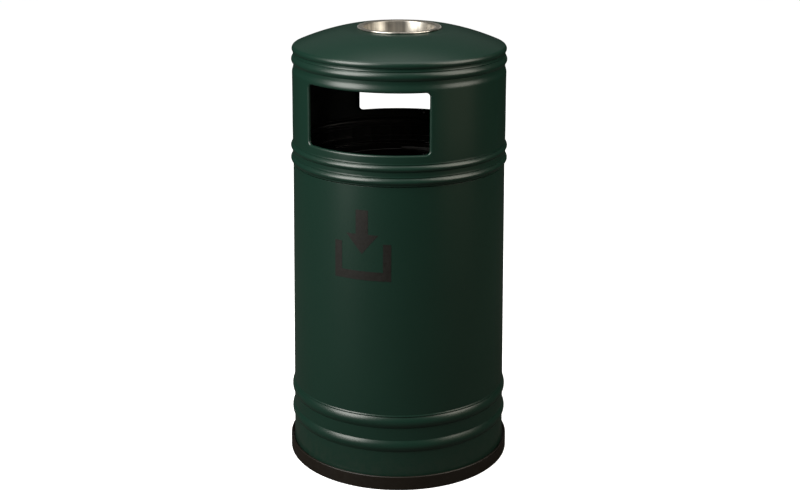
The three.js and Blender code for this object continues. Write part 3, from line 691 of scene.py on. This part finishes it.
def lip_section():
    """(offset, depth) from the hood's outer face round the lip to its inner face."""
    bend = arc((LIP_BEND, LIP_BEND), LIP_BEND, -90, -180, 7)
    tip = arc((SHEET / 2, LIP_DEPTH - SHEET / 2), SHEET / 2, 180, 0, 4)
    back = arc((LIP_BEND, LIP_BEND), LIP_BEND - SHEET, 180, 270, 3)
    return bend, tip, back


def hood_path():
    """The hood's outer face, and the heights of the rows that meet the openings."""
    bottom = OPENING_LOW - LIP_BEND
    top = OPENING_HIGH + LIP_BEND
    corner = OPENING_CORNER + LIP_BEND
    rows = spread(bottom, bottom + corner, CORNER_STEPS)
    rows += spread(bottom + corner, top - corner, ROWS_BESIDE)[1:]
    rows += spread(top - corner, top, CORNER_STEPS)[1:]
    below = spread(SILL_BEAD[1] + RIDGE_SHAPE[-1][1], rows[0], ROWS_BELOW)[1:-1]
    above = spread(rows[-1], SHOULDER[1], ROWS_ABOVE)[1:]
    path = [
        (HOOD_BASE_RADIUS, HOOD_LOW),
        *bead(HOOD_BASE_RADIUS, SEAM_BEAD),
        *bead(HOOD_BASE_RADIUS, SILL_BEAD),
        *[(wall_radius(z), z) for z in below + rows + above],
        *bead(NECK_RADIUS, CROWN_BEAD),
        (NECK_RADIUS, HOOD_TOP),
        (NECK_FLANGE, HOOD_TOP),
    ]
    return path, rows


def hood_columns(openings):
    """Angles round the hood that meet both openings, starting at the front one's left edge."""
    angles = []
    previous_end = None
    for opening in openings:
        inner = opening.half - OPENING_CORNER
        outer = opening.half + LIP_BEND
        left = spread(opening.angle(-outer), opening.angle(-inner), CORNER_STEPS)
        count = 2 * round(inner / COLUMN_WIDTH)
        across = spread(opening.angle(-inner), opening.angle(inner), count)
        right = spread(opening.angle(inner), opening.angle(outer), CORNER_STEPS)
        if previous_end is not None:
            angles += spread(previous_end, left[0], POST_STEPS)[1:-1]
        opening.first = len(angles)
        opening.across = len(across) - 1
        angles += left[:-1] + across[:-1] + right
        previous_end = right[-1]
    angles += spread(previous_end, angles[0] + 2 * math.pi, POST_STEPS)[1:-1]
    return angles


class HoodMesh:
    """The hood's sheet as a grid of rows and columns, with two openings and their lips in it."""

    def __init__(self, openings):
        self.columns = hood_columns(openings)
        path, self.rows = hood_path()
        self.outline = sheet(path)
        self.verts = [around(r, a, z) for r, z, _ in self.outline for a in self.columns]
        self.faces, self.sides = [], []
        self.outer, self.inner = self.opening_rows()
        self.add_walls(openings)
        for opening in openings:
            self.add_lip(opening)

    def opening_rows(self):
        """Where the rows by the openings are in the outline, on its outer face and its inner one."""

        def is_outer_sill(r, z, side):
            return side == OUTSIDE and abs(z - self.rows[0]) < TINY

        def is_inner_wall(r, z, side):
            return side == INSIDE and z > self.rows[0] - ROW_SLACK and r > NECK_FLANGE

        count = len(self.rows)
        outer = min(k for k, point in enumerate(self.outline) if is_outer_sill(*point))
        inner = max(k for k, point in enumerate(self.outline) if is_inner_wall(*point))
        return list(range(outer, outer + count)), list(range(inner, inner - count, -1))

    def vertex(self, k, i):
        return (k % len(self.outline)) * len(self.columns) + i % len(self.columns)

    def add_walls(self, openings):
        holes = set()
        for opening in openings:
            end = opening.first + 2 * CORNER_STEPS + opening.across
            rows = self.outer[:-1] + self.inner[1:]
            holes |= {(k, i % len(self.columns)) for k in rows for i in range(opening.first, end)}
        for k, (_, _, side) in enumerate(self.outline):
            for i in range(len(self.columns)):
                if (k, i) in holes:
                    continue
                low_edge = [self.vertex(k, i), self.vertex(k, i + 1)]
                high_edge = [self.vertex(k + 1, i + 1), self.vertex(k + 1, i)]
                self.faces.append(low_edge + high_edge)
                self.sides.append(side)

    def loop_points(self, opening, offset, depth):
        """Points round the opening, with one for each grid line that meets its straight sides."""
        left = opening.first + CORNER_STEPS
        angles = self.columns[left : left + opening.across + 1]
        xs = [HOOD_WALL_RADIUS * math.sin(a - opening.centre) for a in angles]
        zs = self.rows[CORNER_STEPS : len(self.rows) - CORNER_STEPS]
        return opening.loop(offset, depth, xs, zs)

    def add_points(self, points):
        """Adds vertices and returns their numbers."""
        start = len(self.verts)
        self.verts += points
        return list(range(start, len(self.verts)))

    def grid_walk(self, opening, face_rows):
        """Grid vertices round the opening, from the left end of its straight sill, anticlockwise."""
        start = opening.first
        far = start + 2 * CORNER_STEPS + opening.across
        last = len(self.rows) - 1
        walk = [(0, i) for i in range(start, far)]
        walk += [(k, far) for k in range(last)]
        walk += [(last, i) for i in range(far, start, -1)]
        walk += [(k, start) for k in range(last, 0, -1)]
        walk = walk[CORNER_STEPS:] + walk[: CORNER_STEPS + 1]
        return [self.vertex(face_rows[k], i) for k, i in walk]

    def edge_loop(self, opening, face_rows, depth):
        """The opening's outline on one face of the sheet: grid vertices and new corner ones."""
        walk = self.grid_walk(opening, face_rows)
        points = self.loop_points(opening, LIP_BEND, depth)
        on_outside = depth == 0
        upright = len(self.rows) - 1 - 2 * CORNER_STEPS
        loop = []
        for straight in (opening.across, upright, opening.across, upright):
            start = len(loop) + straight
            end = start + 2 * CORNER_STEPS
            square = walk[start : end + 1]
            fresh = self.add_points(points[start + 1 : end])
            curve = [square[0], *fresh, square[-1]]
            loop += walk[len(loop) : start + 1] + fresh
            for j in range(2 * CORNER_STEPS):
                quad = [square[j], square[j + 1], curve[j + 1], curve[j]]
                quad = list(dict.fromkeys(quad))
                self.faces.append(quad if on_outside else quad[::-1])
                self.sides.append(OUTSIDE if on_outside else INSIDE)
        return loop

    def add_lip(self, opening):
        bend, tip, back = lip_section()
        section = [(p, OUTSIDE) for p in bend[1:] + tip]
        section += [(p, INSIDE) for p in back[:-1]]
        loops = [self.edge_loop(opening, self.outer, 0)]
        for (offset, depth), _ in section:
            loops.append(self.add_points(self.loop_points(opening, offset, depth)))
        loops.append(self.edge_loop(opening, self.inner, SHEET))
        tags = [OUTSIDE] + [side for _, side in section]
        for ring, following, side in zip(loops, loops[1:], tags):
            for j in range(len(ring)):
                n = (j + 1) % len(ring)
                self.faces.append([ring[j], ring[n], following[n], following[j]])
                self.sides.append(side)


def build_hood():
    hood = HoodMesh([Opening(0.0, FRONT_HALF), Opening(math.pi, REAR_HALF)])
    piece("hood_skin", hood.verts, hood.faces, hood.sides, [GREEN, BLACK_PAINT_AND_SHADE], "hood", "hood_shell")


def dome_height(r):
    """Height of the dome, flattened round the hole where the ashtray sits."""
    dome = DOME_CROWN - DOME_DROP * (r / BODY_RADIUS) ** DOME_POWER
    return DOME_SEAT - DOME_BLEND * math.log(1 + math.exp((DOME_SEAT - dome) / DOME_BLEND))


def dome_lean(r):
    """Angle of the dome's outward normal over the level, in radians."""
    slope = -DOME_DROP * DOME_POWER * (r / BODY_RADIUS) ** (DOME_POWER - 1) / BODY_RADIUS
    return math.pi / 2 + math.atan(slope)


def build_lid():
    lean = dome_lean(DOME_EDGE_RADIUS)
    centre = (
        DOME_EDGE_RADIUS - DOME_ROLL * math.cos(lean),
        dome_height(DOME_EDGE_RADIUS) - DOME_ROLL * math.sin(lean),
    )
    roll = arc(centre, DOME_ROLL, DOME_ROLL_END, math.degrees(lean), 16)
    dome = [(r, dome_height(r)) for r in spread(DOME_EDGE_RADIUS - 2 * MM, DOME_HOLE, 64)]
    turned("lid_dome_skin", sheet(roll + dome), [GREEN, BLACK_PAINT_AND_SHADE], "hood", "lid_dome")
    plain_ring("ashtray_collar", DOME_HOLE, 0.4 * MM, BLACK_PAINT_AND_SHADE, "hood")


def build_ashtray():
    floor = ASH_LOW.z + ASH_STEEL
    rim = [(ASH_RIM - inward, DOME_SEAT + up) for inward, up in ASH_EDGE]
    rim += [(ASH_RIM - inward, ASH_HIGH.z - down) for inward, down in ASH_ROLL]
    rim += [(ASH_MOUTH + outward, ASH_HIGH.z - down) for outward, down in ASH_THROAT]
    heel = (ASH_MOUTH - ASH_TAPER - ASH_HEEL, floor + ASH_HEEL)
    path = rim + arc(heel, ASH_HEEL, 0, -90, 8) + [(ASH_FLOOR_HOLD, floor), (0, floor)]
    turned("ashtray_skin", sheet(path, ASH_STEEL), [STAINLESS], "ashtray", "ashtray_bowl")


# ---------------------------------------------------------------------------
# Liner and bail
# ---------------------------------------------------------------------------


def build_liner():
    bottom = low("liner_shell").z
    top = high("liner_shell").z
    wall = high("liner_shell").x - LINER_ROLL
    wall_radius_low, wall_rise = LINER_WALL
    path = [
        (0, bottom),
        (LINER_FLOOR_HOLD, bottom),
        *arc((LINER_FLOOR_RADIUS, bottom + LINER_HEEL), LINER_HEEL, -90, -5, 5),
        (wall_radius_low, bottom + wall_rise),
        (wall, top - 2 * LINER_ROLL_DROP),
        *arc((wall, top - LINER_ROLL_DROP), LINER_ROLL, -60, 90, 8),
    ]
    # the liner's black paint also stands in for the shade inside the bin
    turned("liner_skin", sheet(path, LINER_SHEET), [BLACK_PAINT_AND_SHADE], "liner", "liner_shell")


def swept(name, centres, radius, material, body, *nodes):
    """Sweeps a round section of the given radius along centres that lie in one level plane."""
    up = Vector((0, 0, 1))
    verts, faces = [], []
    for i, p in enumerate(centres):
        ahead = Vector(centres[min(i + 1, len(centres) - 1)])
        behind = Vector(centres[max(i - 1, 0)])
        across = up.cross((ahead - behind).normalized())
        for k in range(WIRE_SIDES):
            a = 2 * math.pi * k / WIRE_SIDES
            out = across * math.cos(a) + up * math.sin(a)
            verts.append(tuple(Vector(p) + radius * out))
    for i in range(len(centres) - 1):
        base = i * WIRE_SIDES
        for k in range(WIRE_SIDES):
            n = (k + 1) % WIRE_SIDES
            faces.append([base + k, base + n, base + WIRE_SIDES + n, base + WIRE_SIDES + k])
    faces.append(list(range(WIRE_SIDES))[::-1])
    faces.append([len(verts) - WIRE_SIDES + k for k in range(WIRE_SIDES)])
    piece(name, verts, faces, [0] * len(faces), [material], body, *nodes)


def build_bail():
    """The bail lies folded to the rear: two straight ends, two bends and half a ring."""
    wire_low, wire_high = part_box("bail_wire")
    level = (wire_low.z + wire_high.z) / 2
    ring = wire_high.y - WIRE
    start = math.degrees(math.asin((WIRE_BEND + WIRE_CLEAR) / ring))
    right = [
        (wire_high.x, 0.0),
        (ring + WIRE_BEND, 0.0),
        *arc((ring + WIRE_BEND, WIRE_BEND), WIRE_BEND, -90, -178, 6),
    ]
    half_ring = arc((0, 0), ring, start, 180 - start, 72)
    left = [(-x, y) for x, y in reversed(right)]
    centres = [(x, y, level) for x, y in right + half_ring + left]
    # the wire's black paint also stands in for the shade inside the bin
    swept("bail_wire_skin", centres, WIRE, BLACK_PAINT_AND_SHADE, "bail", "bail_wire")
    grip_low, grip_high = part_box("bail_grip")
    end = math.degrees(math.acos(grip_high.x / ring)) + 1
    grip = [(x, y, level) for x, y in arc((0, 0), ring, end, 180 - end, 28)]
    swept("bail_grip_skin", grip, (grip_high.z - grip_low.z) / 2, GRIP_PLASTIC, "bail", "bail_grip")


# ---------------------------------------------------------------------------
# CAD nodes that keep their own shape
# ---------------------------------------------------------------------------


FITTING_BEVEL = 0.3 * MM
FITTING_CORNER = math.radians(35)  # edges that turn more than this are bevelled


def finish_cad_nodes():
    for name, obj in frame["nodes"].items():
        if obj.hide_render:
            continue
        obj.data.materials.clear()
        obj.data.materials.append(MATERIALS[SLOT_OF[name]])
        bevel = obj.modifiers.new("edges", "BEVEL")
        bevel.width = FITTING_BEVEL
        bevel.segments = 2
        bevel.limit_method = "ANGLE"
        bevel.angle_limit = FITTING_CORNER
        bevel.use_clamp_overlap = True
        for polygon in obj.data.polygons:
            polygon.use_smooth = True
        normals = obj.modifiers.new("normals", "WEIGHTED_NORMAL")
        normals.weight = 90


# ---------------------------------------------------------------------------
# Studio
# ---------------------------------------------------------------------------

CAMERA_ANGLE = math.radians(19.3)
CAMERA_DISTANCE = 3.040
CAMERA_HEIGHT = 1.403
CAMERA_PITCH = math.radians(6.73)
CAMERA_ROLL = math.radians(0.12)
CAMERA_LENS = 65.43
CAMERA_SENSOR = 36
CAMERA_REACH = 60
CAMERA_SHIFT_X = 0.00075
CAMERA_SHIFT_Y = -0.3545


def place_camera():
    """The main viewpoint. Its vertical shift applies only there, so other views stay centred."""
    data = bpy.data.cameras.new("camera")
    camera = bpy.data.objects.new("camera", data)
    bpy.context.scene.collection.objects.link(camera)
    camera.location = around(CAMERA_DISTANCE, CAMERA_ANGLE, CAMERA_HEIGHT)
    camera.rotation_euler = (math.pi / 2 - CAMERA_PITCH, 0, CAMERA_ANGLE)
    camera.rotation_euler.rotate_axis("Z", CAMERA_ROLL)
    data.lens = CAMERA_LENS
    data.shift_x = CAMERA_SHIFT_X
    data.sensor_width = CAMERA_SENSOR
    data.clip_end = CAMERA_REACH
    driver = data.driver_add("shift_y").driver
    for name, channel in (("x", "LOC_X"), ("z", "LOC_Z")):
        variable = driver.variables.new()
        variable.name = name
        variable.type = "TRANSFORMS"
        variable.targets[0].id = camera
        variable.targets[0].transform_type = channel
    x, _, z = camera.location
    driver.expression = f"{CAMERA_SHIFT_Y} if abs(x - {x:.5f}) + abs(z - {z:.5f}) < 0.0005 else 0"
    bpy.context.scene.camera = camera


KEY_WHITE = (1.0, 0.99, 0.94)
SOFT_WHITE = (1.0, 0.99, 0.96)
BOWL_WHITE = (1.0, 0.97, 0.92)
WARM = (1.0, 0.94, 0.82)
AMBER = (1.0, 0.80, 0.55)


def softbox(name, angle, elevation, distance, size, power, color, aim=(0, 0, 0.5)):
    """An area light aimed at the bin; angle is from the camera's side, positive to its right."""
    data = bpy.data.lights.new(name, "AREA")
    data.shape = "RECTANGLE"
    data.size, data.size_y = size
    data.energy = power
    data.color = color
    light = bpy.data.objects.new(name, data)
    bpy.context.scene.collection.objects.link(light)
    lift = math.radians(elevation)
    place = Vector(around(distance * math.cos(lift), CAMERA_ANGLE + math.radians(angle), 0))
    light.location = place + Vector(aim) + Vector((0, 0, distance * math.sin(lift)))
    direction = Vector(aim) - light.location
    light.rotation_euler = direction.to_track_quat("-Z", "Y").to_euler()
    light.visible_camera = False
    return light


def light_the_bin():
    softbox("left_key", -55, 34, 2.8, (1.7, 2.5), 116, KEY_WHITE)
    softbox("right_box", 69, 37, 2.8, (1.8, 2.4), 53, WARM)
    softbox("left_low", -55, 0, 2.8, (0.8, 0.9), 3, KEY_WHITE)
    softbox("right_low", 62, 0, 2.8, (2.0, 0.9), 1.5, AMBER)
    softbox("overhead_box", 180, 89, 2.6, (2.6, 2.4), 24, SOFT_WHITE)
    softbox("back_box", 180, 32, 3.4, (2.6, 1.6), 1.2, SOFT_WHITE)


def only_for(light, name, pieces):
    """Limits a light to the given pieces."""
    lit = bpy.data.collections.new(name)
    for obj in pieces:
        lit.objects.link(obj)
    light.light_linking.receiver_collection = lit


def light_the_back():
    """A fill for the walls' far side. The pieces whose tops face it don't take it."""
    fill = softbox("back_fill", 180, 38, 3.0, (2.0, 1.8), 52, SOFT_WHITE)
    tops = {"lid_dome_skin", "ashtray_skin", "base_ring_skin"}
    meshes = [o for o in bpy.data.objects if o.type == "MESH"]
    only_for(fill, "walls", [o for o in meshes if o.name not in tops])


def light_the_bowl():
    """A panel behind the bin that only the steel bowl reflects."""
    panel = softbox("bowl_panel", 180, 15, 2.2, (3.0, 0.8), 5, BOWL_WHITE)
    only_for(panel, "bowl", [bpy.data.objects["ashtray_skin"]])


GLOW_FROM_ALL_ROUND = 0.012


def set_world():
    """White behind the bin, but only a faint grey light from all round."""
    world = bpy.data.worlds.new("studio")
    bpy.context.scene.world = world
    world.use_nodes = True
    nodes, links = world.node_tree.nodes, world.node_tree.links
    background = nodes["Background"]
    background.inputs["Color"].default_value = (1, 1, 1, 1)
    background.inputs["Strength"].default_value = GLOW_FROM_ALL_ROUND
    seen = nodes.new("ShaderNodeBackground")
    seen.inputs["Color"].default_value = (1, 1, 1, 1)
    path = nodes.new("ShaderNodeLightPath")
    mix = nodes.new("ShaderNodeMixShader")
    links.new(path.outputs["Is Camera Ray"], mix.inputs["Fac"])
    links.new(background.outputs["Background"], mix.inputs[1])
    links.new(seen.outputs["Background"], mix.inputs[2])
    links.new(mix.outputs["Shader"], nodes["World Output"].inputs["Surface"])


FLOOR_HALF = 16.0
FLOOR_DROP = 0.4 * MM
FLOOR_IN_REFLECTIONS = (0.06, 0.058, 0.055, 1)
FLOOR_SEEN = (0.8, 0.8, 0.8, 1)
FLOOR_GLOW = (0.97, 0.97, 0.97, 1)


def lay_floor():
    """Pale floor: almost white to the camera with a soft shadow, and dim in the bin's reflections."""
    half = FLOOR_HALF
    mesh = bpy.data.meshes.new("floor")
    corners = [(-half, -half, 0), (half, -half, 0), (half, half, 0), (-half, half, 0)]
    mesh.from_pydata(corners, [], [(0, 1, 2, 3)])
    floor = bpy.data.objects.new("floor", mesh)
    floor.location.z = -FLOOR_DROP
    bpy.context.scene.collection.objects.link(floor)
    material = bpy.data.materials.new("floor")
    material.use_nodes = True
    nodes, links = material.node_tree.nodes, material.node_tree.links
    nodes.remove(nodes["Principled BSDF"])
    diffuse = nodes.new("ShaderNodeBsdfDiffuse")
    path = nodes.new("ShaderNodeLightPath")
    tone = nodes.new("ShaderNodeMix")
    tone.data_type = "RGBA"
    tone.inputs[MIX_FIRST].default_value = FLOOR_IN_REFLECTIONS
    tone.inputs[MIX_SECOND].default_value = FLOOR_SEEN
    links.new(path.outputs["Is Camera Ray"], tone.inputs["Factor"])
    links.new(tone.outputs[MIX_RESULT], diffuse.inputs["Color"])
    glow = nodes.new("ShaderNodeEmission")
    links.new(path.outputs["Is Camera Ray"], glow.inputs["Strength"])
    glow.inputs["Color"].default_value = FLOOR_GLOW
    add = nodes.new("ShaderNodeAddShader")
    links.new(diffuse.outputs["BSDF"], add.inputs[0])
    links.new(glow.outputs["Emission"], add.inputs[1])
    links.new(add.outputs["Shader"], nodes["Material Output"].inputs["Surface"])
    mesh.materials.append(material)


# ---------------------------------------------------------------------------

build_body()
build_base()
build_sign()
build_hood()
build_lid()
build_ashtray()
build_liner()
build_bail()
finish_cad_nodes()

bpy.context.scene.view_settings.view_transform = "Standard"
place_camera()
light_the_bin()
light_the_back()
light_the_bowl()
set_world()
lay_floor()
